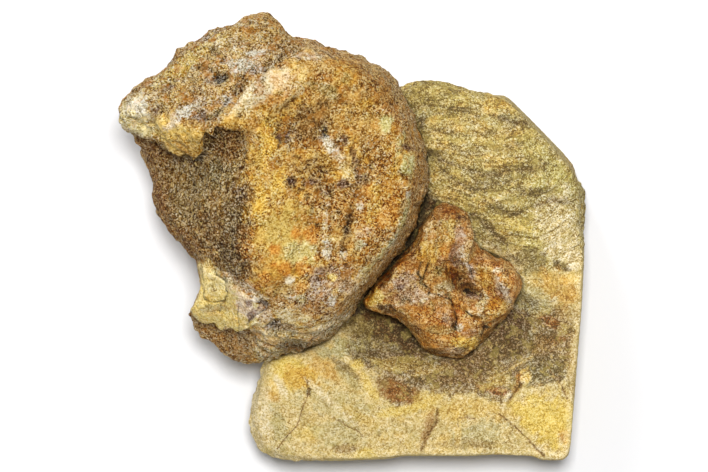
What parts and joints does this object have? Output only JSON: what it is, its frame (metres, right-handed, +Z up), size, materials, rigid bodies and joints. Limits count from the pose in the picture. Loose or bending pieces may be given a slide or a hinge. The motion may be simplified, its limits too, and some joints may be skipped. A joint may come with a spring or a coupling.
{
  "type": "fossil hadrosaur vertebra",
  "caption": "Weathered dinosaur vertebra with a broken neural arch, standing beside a smaller bone in a sawn block of layered sandstone; a display specimen that lies on its flat base.",
  "frame": {"origin": "on the base, under the middle of the whole specimen's box", "axes": "+X from the vertebra towards the sandstone block, +Y from the block's sawn edge towards the broken neural arch, +Z up, out of the vertebra's articular face"},
  "size_m": [0.188, 0.1797, 0.1007],
  "materials": {
    "fossil_bone": "matt petrified bone, mottled orange-brown, tan and dark brown, with fine pores and cracks",
    "small_fossil_bone": "smoother petrified bone with a faint waxy sheen, orange-brown with lilac-grey patches and fine cracks",
    "sandstone": "matt fine-grained sandstone, olive-yellow with thin darker layers and iron stains, sawn on some sides"
  },
  "bodies": {
    "root": {"vertebra": "fossil_bone", "small_bone": "small_fossil_bone", "sandstone_block": "sandstone"}
  },
  "joints": []
}
